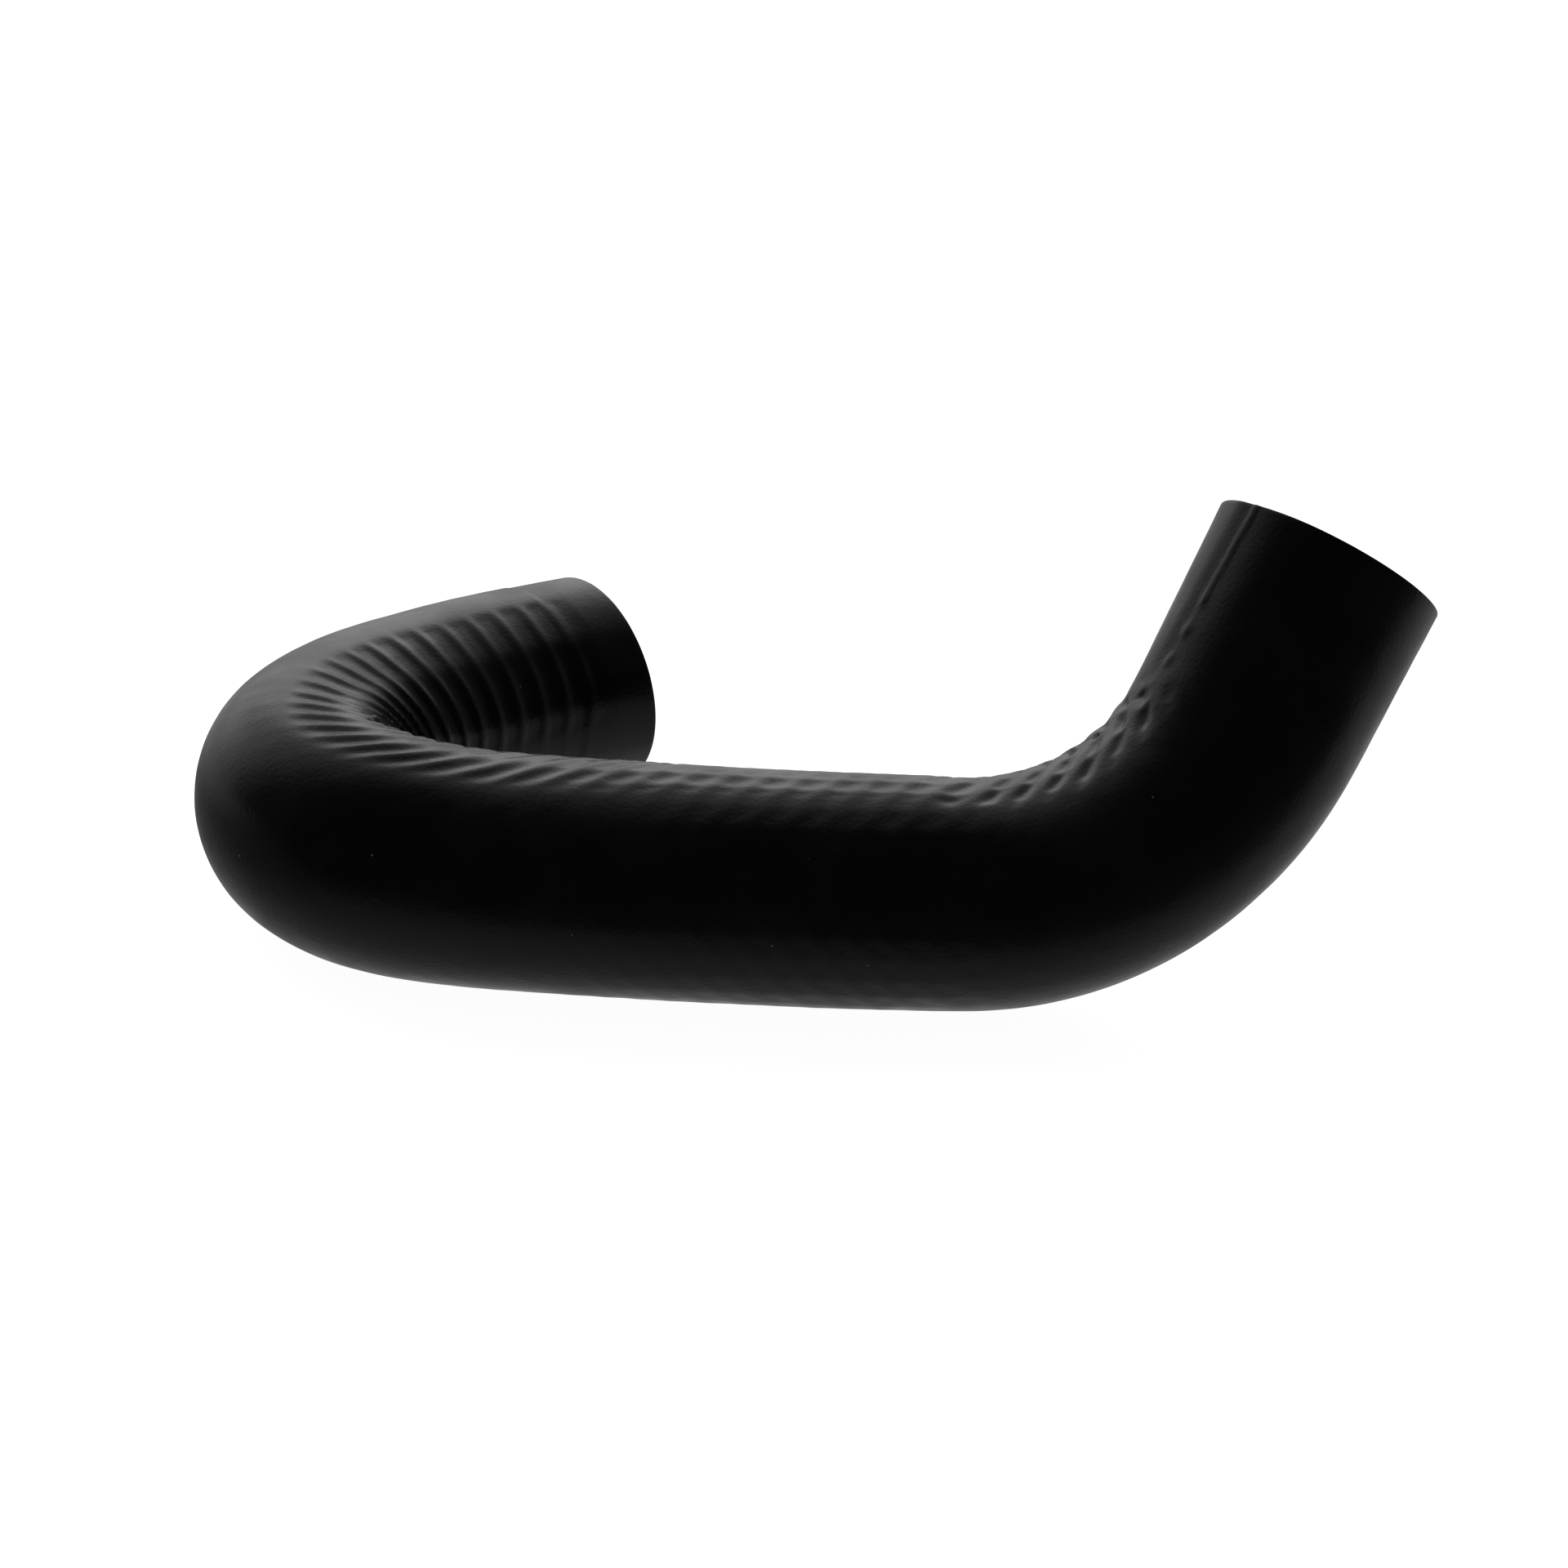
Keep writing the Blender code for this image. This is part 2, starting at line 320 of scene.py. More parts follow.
# %% Distance, angle and radius of every point
point_count = len(hose.data.vertices)
flat = np.empty(point_count * 3)
hose.data.vertices.foreach_get("co", flat)
straight = flat.reshape(-1, 3)
distance = straight[:, 0]
from_leg = HOSE_LENGTH - distance
radius = np.hypot(straight[:, 1], straight[:, 2])
angle = np.degrees(np.arctan2(-straight[:, 1], -straight[:, 2])) % 360
on_skin = np.clip((radius - (OUTER_DIAMETER / 2 - WALL / 2)) / (WALL / 2), 0, 1)
print("points:", point_count, "of them in the outer half of the wall:", int((on_skin > 0).sum()))

# %% [markdown]
# ## Small shaping functions
#
# The relief is a sum of soft shapes. smooth() fades something in, within() also fades it out again,
# bump() is a soft hill, and zigzag() is a triangle wave with rounded corners. turned() measures an
# angle from another the short way round. A size that changes along the hose is a list of stations,
# each a distance from the riser's mouth and the size there, and follows() reads it.

# %% Shaping functions
CORNER_SHARPNESS = 0.97


def smooth(value, low, high):
    """0 below low, 1 above high, and an even change of pace between them."""
    share = np.clip((value - low) / (high - low), 0, 1)
    return share * share * (3 - 2 * share)


def within(value, starts, full, fades, ends):
    """1 from full to fades, 0 before starts and after ends, and soft changes between them."""
    return smooth(value, starts, full) * (1 - smooth(value, fades, ends))


def bump(value, half_width):
    """A soft hill of height 1 round 0 that has all but gone at twice its half width."""
    return np.exp(-(value / half_width) ** 2)


def zigzag(value):
    """A triangle wave from 0 to 1 and back for every 2 of its value, with rounded corners."""
    return np.arccos(CORNER_SHARPNESS * np.cos(np.pi * value)) / np.pi


def wave(value):
    """A cosine wave from 1 to 0 and back for every 1 of its value."""
    return 0.5 + 0.5 * np.cos(2 * np.pi * value)


def mixed(first, second, share):
    """The first where the share is 0, the second where it is 1, and a mix between them."""
    return first + (second - first) * share


def turned(value, middle):
    """The angle from middle to value, from -180 to 180 degrees."""
    return (value - middle + 180) % 360 - 180


def follows(distance, stations):
    """A size that changes along the hose, with straight lines between its stations."""
    places, sizes = zip(*stations)
    return np.interp(distance, places, sizes)


# %% How far inside the tight bend each point is
def tightness(distance):
    """How hard the hose swings at each distance: 1 in the tight bend."""
    swing = np.zeros_like(distance)
    for stretch in STRETCHES:
        inside = distance >= stretch.start
        share = np.clip((distance - stretch.start) / stretch.length, 0, 1)
        here = stretch.swing_from + (stretch.swing_to - stretch.swing_from) * share
        swing = np.where(inside, here, swing)
    return swing / max(stretch.swing_from for stretch in STRETCHES)


tight = tightness(distance)
inward = np.sin(np.radians(angle)) * tight
print("furthest inside the tight bend:", round(float(inward.max()), 2))

# %% [markdown]
# ## The relief of the knit
#
# Under the thin cover lies a knitted sleeve. Its courses show as ridges round the hose. They are 7.8 mm
# apart on the leg, gathered to 6.2 mm where the tight bend begins, and drawn out to 9.7 mm in the wide
# bend. A few stations say how many ridges lie between a place and one ridge on the leg. Round the tight
# bend each ridge leans away from its middle on both sides, which draws it as a chevron. Below that
# middle means towards angle 270, the outside of the bend, and above it means towards angle 90.

# %% Courses and their lean
RIDGES_FROM_ONE = [
    (0.0, -44.9), (0.0570, -39.0), (0.1249, -32.0), (0.2230, -19.0),
    (0.2666, -12.0), (0.3033, -7.0), (0.3578, 0.0), (0.3772, 2.5),
]
COUNTED_AT_ANGLE = [(0.200, 186.0), (0.300, 170.0)]
POINT_ANGLE = [(0.200, 154.0), (0.240, 157.0), (0.256, 160.0), (0.284, 158.0), (0.300, 152.0), (0.325, 147.0)]
BELOW_HALF, ABOVE_HALF = 90.0, 45.0      # degrees from the chevron's point to where its arms turn back
# Millimetres along the hose that a ridge leans for each degree, below and above the chevron's point
LEAN_BELOW = [
    (0.100, 0.50), (0.130, 0.30), (0.180, 0.36), (0.215, 0.52), (0.238, 0.55),
    (0.252, 0.42), (0.268, 0.26), (0.282, 0.14), (0.312, 0.02),
]
LEAN_ABOVE = [
    (0.200, -0.20), (0.236, 0.05), (0.262, 0.62), (0.272, 0.46), (0.284, 0.26), (0.300, 0.15), (0.335, 0.04),
]


def lean(distance, angle):
    """How far along the hose a ridge lies from its place at the chevron's point."""
    off_point = turned(angle, follows(distance, POINT_ANGLE))
    below = follows(distance, LEAN_BELOW) * BELOW_HALF * zigzag(off_point / BELOW_HALF)
    above = follows(distance, LEAN_ABOVE) * ABOVE_HALF * zigzag(off_point / ABOVE_HALF)
    return np.where(off_point >= 0, below, above) / MM_PER_METRE


lean_where_counted = lean(distance, follows(distance, COUNTED_AT_ANGLE))
course = follows(distance - lean(distance, angle) + lean_where_counted, RIDGES_FROM_ONE)
crest = wave(course)
print("ridges along the hose:", int(course.max() - course.min()))

# %% [markdown]
# The sleeve's wales part each ridge into rows of hollows. Short hollows in close rows run in a narrow
# band along the top of the run, and in a broader one inside the wide bend. Round the tight bend and on
# the leg the rows are two to three times as far apart, and their hollows are long. The rows drift round
# the hose, because the knit is a little twisted. All angles here are in degrees.

# %% Rows of hollows
ROW_ANGLE = [
    (0.050, 158.0), (0.072, 167.0), (0.082, 172.0), (0.113, 176.0), (0.121, 182.0), (0.180, 184.0),
    (0.189, 187.0), (0.205, 189.0), (0.240, 191.0), (0.256, 185.0), (0.270, 174.0), (0.284, 167.0),
    (0.299, 163.0), (0.330, 157.0),
]
CLOSE_SPACING, CLOSE_HALF_LENGTH = 13.0, 5.0
FAR_SPACING = [(0.200, 23.0), (0.235, 27.0), (0.265, 36.0)]
FAR_HALF_LENGTH = [(0.200, 8.0), (0.240, 10.0), (0.270, 13.0), (0.300, 14.0), (0.330, 13.0)]
FAR_ROWS_BEGIN = (0.185, 0.215)
SHARE_BETWEEN_ROWS = [(0.120, 0.15), (0.200, 0.15), (0.250, 0.32)]
ROWS_JOIN_INWARD = (0.3, 0.8)


def rows(off_row, spacing, half_length):
    """How deep in a hollow of its row each point lies: 1 in the middle and 0 between the rows."""
    nearest = off_row - spacing * np.round(off_row / spacing)
    return np.exp(-(np.abs(nearest) / half_length) ** 3)


off_row = turned(angle, follows(distance, ROW_ANGLE))
in_close = rows(off_row, CLOSE_SPACING, CLOSE_HALF_LENGTH)
in_far = rows(off_row, follows(distance, FAR_SPACING), follows(distance, FAR_HALF_LENGTH))
in_row = mixed(in_close, in_far, smooth(distance, *FAR_ROWS_BEGIN))
share_of_row = mixed(follows(distance, SHARE_BETWEEN_ROWS), 1, in_row)
share_of_row = mixed(share_of_row, 1, smooth(inward, *ROWS_JOIN_INWARD))
print("share of the hose in a row:", round(float(share_of_row.mean()), 2))

# %% [markdown]
# The relief shows most on the upper side. Below and above the rows it fades to a trace, sooner along
# the run than in the bends.

# %% Where the relief fades
ROWS_END_BELOW = [
    (0.110, 17.0), (0.130, 5.0), (0.190, 6.0), (0.230, 8.0), (0.260, 12.0), (0.300, 8.0),
]
TRACE_BELOW = [
    (0.110, 0.03), (0.130, 0.30), (0.180, 0.15), (0.200, 0.03), (0.250, 0.06), (0.300, 0.08),
]
ROWS_END_ABOVE = [(0.060, 40.0), (0.115, 30.0), (0.130, 9.0), (0.172, 9.0), (0.186, 60.0)]
TRACE_ABOVE = 0.15
BELOW_FADE, ABOVE_FADE = 8, 10
KNIT_BEGINS = (0.040, 0.056)             # from the riser's mouth
KNIT_ENDS = (0.008, 0.024)               # from the leg's mouth

last_below = follows(distance, ROWS_END_BELOW)
last_above = follows(distance, ROWS_END_ABOVE)
below_fades = mixed(1, follows(distance, TRACE_BELOW), smooth(off_row, last_below, last_below + BELOW_FADE))
above_fades = mixed(1, TRACE_ABOVE, smooth(-off_row, last_above, last_above + ABOVE_FADE))
sides_fade = below_fades * above_fades
ends_fade = smooth(distance, *KNIT_BEGINS) * smooth(from_leg, *KNIT_ENDS)
print("points that show the knit:", int((sides_fade * ends_fade > TRACE_ABOVE).sum()))

# %% [markdown]
# Inside the tight bend the courses are pushed together into pleats, which are deeper than the hollows
# and shallow again where they crowd most. On the outside of the bend they are stretched nearly flat.
# Between its ridges a hollow is broad, apart from the pleats and the wide bend, where it is a crease.

# %% Depth and section of the hollows
# Millimetres
HOLLOW_DEPTH = [
    (0.060, 0.85), (0.110, 0.80), (0.125, 0.55), (0.185, 0.50), (0.215, 0.60),
    (0.240, 0.65), (0.270, 0.75), (0.300, 0.66), (0.320, 0.52),
]
PLEAT_DEPTH, INNERMOST_DEPTH = 1.00, 0.18
PLEATS_DEEPEN_INWARD, PLEATS_CROWD_INWARD = (0.25, 0.6), (0.6, 0.95)
STRETCHED_OUTWARD, STRETCHED_SHARE = (0.1, 0.8), 0.4
RIDGE_POWER = [(0.240, 1.3), (0.290, 2.6)]
CREASE_POWER = 1.8
CREASED_INWARD = (0.4, 0.9)
WIDE_BEND_ENDS = (0.110, 0.130)
GROOVE_ALONG_RUN = (0.115, 0.130, 0.180, 0.200)
GROOVE_HALF_ANGLE, GROOVE_SHARE = 6, 0.35

depth = follows(distance, HOLLOW_DEPTH)
depth = mixed(depth, PLEAT_DEPTH, smooth(inward, *PLEATS_DEEPEN_INWARD))
depth = mixed(depth, INNERMOST_DEPTH, smooth(inward, *PLEATS_CROWD_INWARD))
depth = depth * mixed(1, STRETCHED_SHARE, smooth(-inward, *STRETCHED_OUTWARD)) / MM_PER_METRE
hollow = 1 - crest ** follows(distance, RIDGE_POWER)
crease = (1 - crest) ** CREASE_POWER
in_wide_bend = 1 - smooth(distance, *WIDE_BEND_ENDS)
hollow = mixed(hollow, crease, np.maximum(smooth(inward, *CREASED_INWARD), in_wide_bend))
groove = within(distance, *GROOVE_ALONG_RUN) * bump(off_row, GROOVE_HALF_ANGLE)
hollow = mixed(hollow, 1, GROOVE_SHARE * groove)
knit = -depth * hollow * share_of_row * sides_fade * ends_fade
print("deepest hollow in mm:", mm(knit.min()))

# %% [markdown]
# ## Ruffles inside the wide bend
#
# On the inner side of the wide bend the sleeve is pushed together and its ridges break up into
# irregular lumps. A smooth noise with features as large as a lump sinks the skin by uneven amounts
# between them.

# %% Lumps inside the wide bend
LUMP_SIZE = 0.0085
LUMP_HEIGHT = 0.00018
LUMP_TOP = 0.7                # the noise that leaves a lump at the skin's own level
LUMPY_STRETCH = (0.040, 0.052, 0.112, 0.130)
LUMP_SEED, SLOW_SEED, QUICK_SEED = 1, 3, 4
SEED_SHIFT = (7.31, 3.17, 5.71)


def noise_at(points, size, seed):
    """Smooth noise from -1 to 1 at each point, with features of about the given size."""
    shift = Vector([seed * part for part in SEED_SHIFT])
    return np.array([noise.noise(Vector(point) / size + shift) for point in points])


lumps = noise_at(straight, LUMP_SIZE, LUMP_SEED)
ruffles = LUMP_HEIGHT * (lumps - LUMP_TOP) * within(distance, *LUMPY_STRETCH) * sides_fade
print("lumps in mm:", mm(ruffles.min()), "to", mm(ruffles.max()))

# %% [markdown]
# ## The overlap line on the riser
#
# The cure wrap's edge leaves a shallow step down the riser, with a thin raised thread beside it. The
# thread breaks up into separate beads and sinks into the skin before the wide bend.

# %% Step and thread on the riser
STEP_DEPTH = 0.00050
STEP_ANGLE = 155.5
STEP_HALF_ANGLE = 6.0
STEP_EVENS_OUT = (0, 35)      # degrees past the thread
LINE_TWIST = 200.0            # degrees per metre that the lines drift round the hose
LINE_FADES = (0.034, 0.050)
THREAD_ANGLE = 163.4
THREAD_HALF_ANGLE = 1.3
THREAD_HEIGHT = 0.00036
THREAD_BREAKS = (0.015, 0.030)
BEAD_PITCH = 0.0077
FIRST_BEAD = 0.0300
BEAD_POWER = 1.5

off_step = turned(angle, STEP_ANGLE - LINE_TWIST * distance)
off_thread = turned(angle, THREAD_ANGLE - LINE_TWIST * distance)
line_fades = 1 - smooth(distance, *LINE_FADES)
step = -STEP_DEPTH * smooth(off_step, -STEP_HALF_ANGLE, STEP_HALF_ANGLE)
step = step * (1 - smooth(off_thread, *STEP_EVENS_OUT)) * line_fades
beads = wave((distance - FIRST_BEAD) / BEAD_PITCH)
breaking = smooth(distance, *THREAD_BREAKS)
thread_share = mixed(1, beads ** BEAD_POWER, breaking)
thread_width = THREAD_HALF_ANGLE * (1 + breaking * beads)
thread = THREAD_HEIGHT * bump(off_thread, thread_width) * thread_share * line_fades
print("step and thread in mm:", mm(step.min()), "and", mm(thread.max()))

# %% [markdown]
# ## Unevenness
#
# Hand-pushed rubber is never quite round. Slow waves of a tenth of a millimetre and smaller, quicker
# ones keep the outline and the highlights from looking drawn with a ruler. Nearly all of it goes
# inwards from the full radius, so that the dressed hose stays inside the CAD model's box.

# %% Slow and quick waves
SLOW_DEPTH, SLOW_SIZE = 0.00016, 0.022
QUICK_DEPTH, QUICK_SIZE = 0.00005, 0.0045
WAVE_TOP = 0.5                # the noise that leaves the skin at its full radius


def sunk_waves(depth, size, seed):
    """Waves as deep as given, with only the highest peaks of the noise above the full radius."""
    return depth * (noise_at(straight, size, seed) - WAVE_TOP) / (1 + WAVE_TOP)


waves = sunk_waves(SLOW_DEPTH, SLOW_SIZE, SLOW_SEED) + sunk_waves(QUICK_DEPTH, QUICK_SIZE, QUICK_SEED)
print("waves in mm:", mm(waves.min(), 3), "to", mm(waves.max(), 3))

# %% [markdown]
# ## Shape the skin and prepare the bend
#
# The relief moves each point of the skin along its radius. The same step widens the riser towards its
# mouth, where the mandrel had a collar, lays in what the bend does to the section, which turns slightly
# oval, and tilts the two knife cuts a little.

# %% Move the points
relief = (knit + ruffles + step + thread + waves) * on_skin
widening = (RISER_MOUTH_DIAMETER - OUTER_DIAMETER) / 2 * np.clip(1 - distance / RISER_FLARE_LENGTH, 0, 1)
shaped_radius = radius + widening + relief
oval = BEND_OVAL * tight
across = shaped_radius * np.sin(np.radians(angle)) * (1 - oval)
height = -shaped_radius * np.cos(np.radians(angle)) * (1 + oval)
riser_slope = math.tan(math.radians(RISER_CUT_TILT))
leg_slope = math.tan(math.radians(LEG_CUT_TILT))
riser_slide = across * riser_slope * np.clip(1 - distance / RISER_STRAIGHT, 0, 1)
leg_slide = height * leg_slope * np.clip(1 - from_leg / LEG_STRAIGHT, 0, 1)
level_floor = OUTER_DIAMETER / 2 * oval
shaped = np.stack([distance - riser_slide - leg_slide, -across, height + level_floor], axis=1)
hose.data.vertices.foreach_set("co", shaped.ravel())
hose.data.update()
print("relief in mm:", mm(relief.min()), "to", mm(relief.max()))

# %% [markdown]
# ## What the material will want to know
#
# Worn rubber is a little greyer on its ridges than in its hollows. The mesh carries that as an
# attribute, and a UV map unrolls the hose, so that marks can follow the skin round both bends. A face
# that crosses the underside gets its angles from one turn further on, so that the map has no fold.

# %% Attribute and UV map
MEAN_HOLLOW = 0.0004
height_mask = np.clip(1 + (knit + ruffles) / MEAN_HOLLOW, 0, 1)
attribute = hose.data.attributes.new("ridge", "FLOAT", "POINT")
attribute.data.foreach_set("value", height_mask.astype(np.float32))
loop_points = np.empty(len(hose.data.loops), dtype=np.int32)
hose.data.loops.foreach_get("vertex_index", loop_points)
loop_starts = np.empty(len(hose.data.polygons), dtype=np.int32)
hose.data.polygons.foreach_get("loop_start", loop_starts)
loop_totals = np.empty(len(hose.data.polygons), dtype=np.int32)
hose.data.polygons.foreach_get("loop_total", loop_totals)
round_share = angle[loop_points] / 360
face_of_loop = np.repeat(np.arange(len(loop_totals)), loop_totals)
highest = np.maximum.reduceat(round_share, loop_starts)
round_share = np.where(highest[face_of_loop] - round_share > 0.5, round_share + 1, round_share)
uv = np.stack([distance[loop_points] / HOSE_LENGTH, round_share], axis=1)
hose.data.uv_layers.new(name="unrolled")
hose.data.uv_layers["unrolled"].data.foreach_set("uv", uv.ravel().astype(np.float32))
wall_share = (OUTER_DIAMETER / 2 - radius[loop_points]) / WALL
face_wall = np.add.reduceat(wall_share, loop_starts) / loop_totals
print("faces in the UV map:", len(loop_totals))

# %% [markdown]
# ## Bend the hose
#
# The Curve modifier is the mandrel: it carries every section of the straight hose to its place on the
# centre line. The curve's Z-up twist keeps the hose's top upwards in the flat bend. Then the hose is
# moved so that its riser's mouth is where the frame has it, and the guide is removed. The room left on
# each side of the CAD node's box is printed last.

# %% Bend along the centre line
SMOOTH_BELOW = 50             # degrees between faces

curve = bpy.data.curves.new("mandrel", "CURVE")
curve.dimensions = "3D"
curve.twist_mode = "Z_UP"
spline = curve.splines.new("POLY")
spline.points.add(len(path_points) - 1)
for spot, point in zip(spline.points, path_points):
    spot.co = (*point, 1.0)
mandrel = bpy.data.objects.new("mandrel", curve)
bpy.context.scene.collection.objects.link(mandrel)
bpy.ops.object.select_all(action="DESELECT")
hose.select_set(True)
bpy.context.view_layer.objects.active = hose
bend = hose.modifiers.new("bend", "CURVE")
bend.object = mandrel
bend.deform_axis = "POS_X"
bpy.ops.object.modifier_apply(modifier=bend.name)
bpy.data.objects.remove(mandrel)
hose.location = mouth_middle
bpy.ops.object.transform_apply(location=True, rotation=False, scale=False)
bpy.ops.object.shade_smooth_by_angle(angle=math.radians(SMOOTH_BELOW))
low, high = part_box("hose")
bent = np.array([vertex.co for vertex in hose.data.vertices])
for axis, name in enumerate("XYZ"):
    below, above = bent[:, axis].min() - low[axis], high[axis] - bent[:, axis].max()
    print(name, "room in mm:", mm(below, 3), mm(above, 3))

# %% [markdown]
# ## Node groups for rubber
#
# Three finishes share the same effects: the fine grain of rubber and blotches where it is duller or
# shinier. The skin also has a few specks of dust. Each effect is a group that puts out one mask or
# height, so that each material can use it at a scale of its own.

# %% Helpers for node groups
def new_group(name, inputs, output):
    """An empty node group with float inputs of given values and one float output."""
    tree = bpy.data.node_groups.new(name, "ShaderNodeTree")
    tree.interface.new_socket("Vector", in_out="INPUT", socket_type="NodeSocketVector")
    for socket_name, value in inputs.items():
        socket = tree.interface.new_socket(socket_name, in_out="INPUT", socket_type="NodeSocketFloat")
        socket.default_value = value
    tree.interface.new_socket(output, in_out="OUTPUT", socket_type="NodeSocketFloat")
    return tree, tree.nodes.new("NodeGroupInput"), tree.nodes.new("NodeGroupOutput")


def feed(tree, socket, value):
    """Gives a socket its value: a link from another socket, or a plain number or colour."""
    if isinstance(value, bpy.types.NodeSocket):
        tree.links.new(value, socket)
    else:
        socket.default_value = value


def math_node(tree, operation, first, second):
    """A Math node whose two values are sockets or plain numbers."""
    node = tree.nodes.new("ShaderNodeMath")
    node.operation = operation
    feed(tree, node.inputs[0], first)
    feed(tree, node.inputs[1], second)
    return node.outputs[0]


def range_node(tree, value, low, high, to_low, to_high):
    """A smooth Map Range node."""
    node = tree.nodes.new("ShaderNodeMapRange")
    node.interpolation_type = "SMOOTHSTEP"
    tree.links.new(value, node.inputs["Value"])
    for name, number in (("From Min", low), ("From Max", high), ("To Min", to_low), ("To Max", to_high)):
        node.inputs[name].default_value = number
    return node.outputs["Result"]


def noise_node(tree, vector, scale, detail):
    """A Noise Texture on the given coordinates."""
    node = tree.nodes.new("ShaderNodeTexNoise")
    tree.links.new(vector, node.inputs["Vector"])
    feed(tree, node.inputs["Scale"], scale)
    node.inputs["Detail"].default_value = detail
    return node.outputs["Fac"]


def cells_node(tree, given):
    """A Voronoi Texture on a group's own coordinates and scale."""
    node = tree.nodes.new("ShaderNodeTexVoronoi")
    tree.links.new(given.outputs["Vector"], node.inputs["Vector"])
    tree.links.new(given.outputs["Scale"], node.inputs["Scale"])
    return node


# %% Grain, blotches and dust
GRAIN_SHARE = 0.6             # of the round grains, against the film over them
FILM_DETAIL, BLOTCH_DETAIL = 2.0, 4.0
BLOTCH_RANGE = (0.35, 0.68)   # the noise where a blotch begins and where it is full
BLOTCH_SCALE = 55.0
DUST_SCALE, DUST_SIZE = 150.0, 0.035
CLEAN_CELLS = 0.72            # share of the cells that hold no speck
SKIN_GRAIN, CUT_GRAIN, BORE_GRAIN = 1000.0, 700.0, 1400.0


def grain_group():
    """Fine pebbled grain: small round grains with an uneven film over them."""
    tree, given, result = new_group("rubber_grain", {"Scale": SKIN_GRAIN}, "Height")
    film = noise_node(tree, given.outputs["Vector"], given.outputs["Scale"], FILM_DETAIL)
    grains = math_node(tree, "MULTIPLY", cells_node(tree, given).outputs["Distance"], GRAIN_SHARE)
    tree.links.new(math_node(tree, "ADD", grains, film), result.inputs["Height"])
    return tree


def blotch_group():
    """Slow blotches from 0 to 1, such as release agent and handling leave."""
    tree, given, result = new_group("rubber_blotches", {"Scale": BLOTCH_SCALE}, "Mask")
    blotches = noise_node(tree, given.outputs["Vector"], given.outputs["Scale"], BLOTCH_DETAIL)
    tree.links.new(range_node(tree, blotches, *BLOTCH_RANGE, 0.0, 1.0), result.inputs["Mask"])
    return tree


def dust_group():
    """Sparse specks: the middles of a few cells of a Voronoi pattern."""
    tree, given, result = new_group("dust_specks", {"Scale": DUST_SCALE, "Size": DUST_SIZE}, "Mask")
    cells = cells_node(tree, given)
    speck = math_node(tree, "LESS_THAN", cells.outputs["Distance"], given.outputs["Size"])
    lot = tree.nodes.new("ShaderNodeSeparateColor")
    tree.links.new(cells.outputs["Color"], lot.inputs["Color"])
    dusty = math_node(tree, "GREATER_THAN", lot.outputs["Red"], CLEAN_CELLS)
    tree.links.new(math_node(tree, "MULTIPLY", speck, dusty), result.inputs["Mask"])
    return tree


GRAIN = grain_group()
BLOTCHES = blotch_group()
DUST = dust_group()
print("groups:", GRAIN.name, BLOTCHES.name, DUST.name)

# %% [markdown]
# ## The rubber
#
# The hose is deep black: carbon black takes in almost all light, and what is seen is the sheen of
# the surroundings at a shallow angle. So the base colour is nearly black and the specular level is
# low, as on a cover that isn't polished. Roughness changes with the blotches, and the ridges are a
# little greyer where the hose is handled. The cut rings and the bore are duller than the skin.

# %% Helpers for the rubber
SKIN_BLACK = (0.0036, 0.0036, 0.0038, 1.0)
SKIN_WORN = (0.0060, 0.0060, 0.0063, 1.0)
DUST_GREY = (0.16, 0.16, 0.15, 1.0)
CUT_BLACK = (0.0090, 0.0090, 0.0095, 1.0)
SPECULAR_LEVEL = 0.145
SKIN_ROUGHNESS, SKIN_GRAIN_DEPTH = (0.27, 0.36), 0.00004
CUT_ROUGHNESS, CUT_GRAIN_DEPTH = (0.55, 0.70), 0.00010
BORE_ROUGHNESS, BORE_GRAIN_DEPTH = (0.42, 0.58), 0.00003


def place_group(tree, group, vector, values):
    """A group node fed with coordinates, with its own values."""
    node = tree.nodes.new("ShaderNodeGroup")
    node.node_tree = group
    tree.links.new(vector, node.inputs["Vector"])
    for name, value in values.items():
        node.inputs[name].default_value = value
    return node.outputs[0]


def rubber(name, roughness_range, grain_scale, grain_depth):
    """A rubber material without its colour: it, its tree, shader, coordinates and blotches."""
    material = bpy.data.materials.new(name)
    material.use_nodes = True
    tree = material.node_tree
    shader = tree.nodes["Principled BSDF"]
    shader.inputs["Specular IOR Level"].default_value = SPECULAR_LEVEL
    coordinates = tree.nodes.new("ShaderNodeTexCoord").outputs["Object"]
    blotches = place_group(tree, BLOTCHES, coordinates, {"Scale": BLOTCH_SCALE})
    roughness = range_node(tree, blotches, 0.0, 1.0, *roughness_range)
    tree.links.new(roughness, shader.inputs["Roughness"])
    grain = place_group(tree, GRAIN, coordinates, {"Scale": grain_scale})
    grain_bump = tree.nodes.new("ShaderNodeBump")
    grain_bump.inputs["Strength"].default_value = 1.0
    grain_bump.inputs["Distance"].default_value = grain_depth
    tree.links.new(grain, grain_bump.inputs["Height"])
    tree.links.new(grain_bump.outputs["Normal"], shader.inputs["Normal"])
    return material, tree, shader, coordinates, blotches


def mixed_colour(tree, mask, first, second):
    """A colour between two, each of them a socket or a plain colour."""
    node = tree.nodes.new("ShaderNodeMix")
    node.data_type = "RGBA"
    tree.links.new(mask, node.inputs["Factor"])
    feed(tree, node.inputs["A"], first)
    feed(tree, node.inputs["B"], second)
    return node.outputs["Result"]


